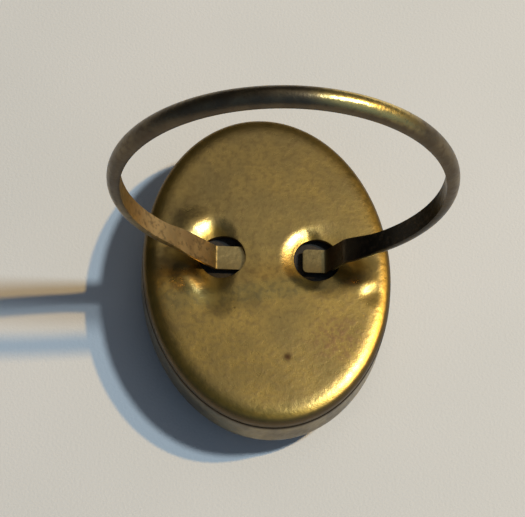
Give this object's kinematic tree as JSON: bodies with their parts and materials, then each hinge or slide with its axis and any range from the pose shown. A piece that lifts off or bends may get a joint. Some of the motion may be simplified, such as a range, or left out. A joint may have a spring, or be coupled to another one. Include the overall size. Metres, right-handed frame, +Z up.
{
  "type": "finger ring",
  "caption": "Oval-headed brass finger ring: a half-round wire shank with flattened ends tucked through a pressed back plate, a bezel and a flat bevelled stone",
  "frame": {"origin": "middle of the ring's footprint, on the surface that it stands on face down: the stone's table is on Z = 0", "axes": "+Z up out of the back plate, along the shank's height; +Y along the finger and along the head's length; +X across the finger"},
  "size_m": [0.019, 0.0196, 0.023],
  "materials": {
    "shank_brass": "darkened, worn bright on its high spots",
    "plate_brass": "satin, lightly tarnished",
    "bezel_brass": "tarnished in its seams",
    "stone_black": "polished",
    "card": "pressed card"
  },
  "bodies": {
    "root": {"shank": "shank_brass", "back_plate": "plate_brass", "bezel": "bezel_brass", "stone": "stone_black", "packing_card": "card"}
  },
  "joints": []
}
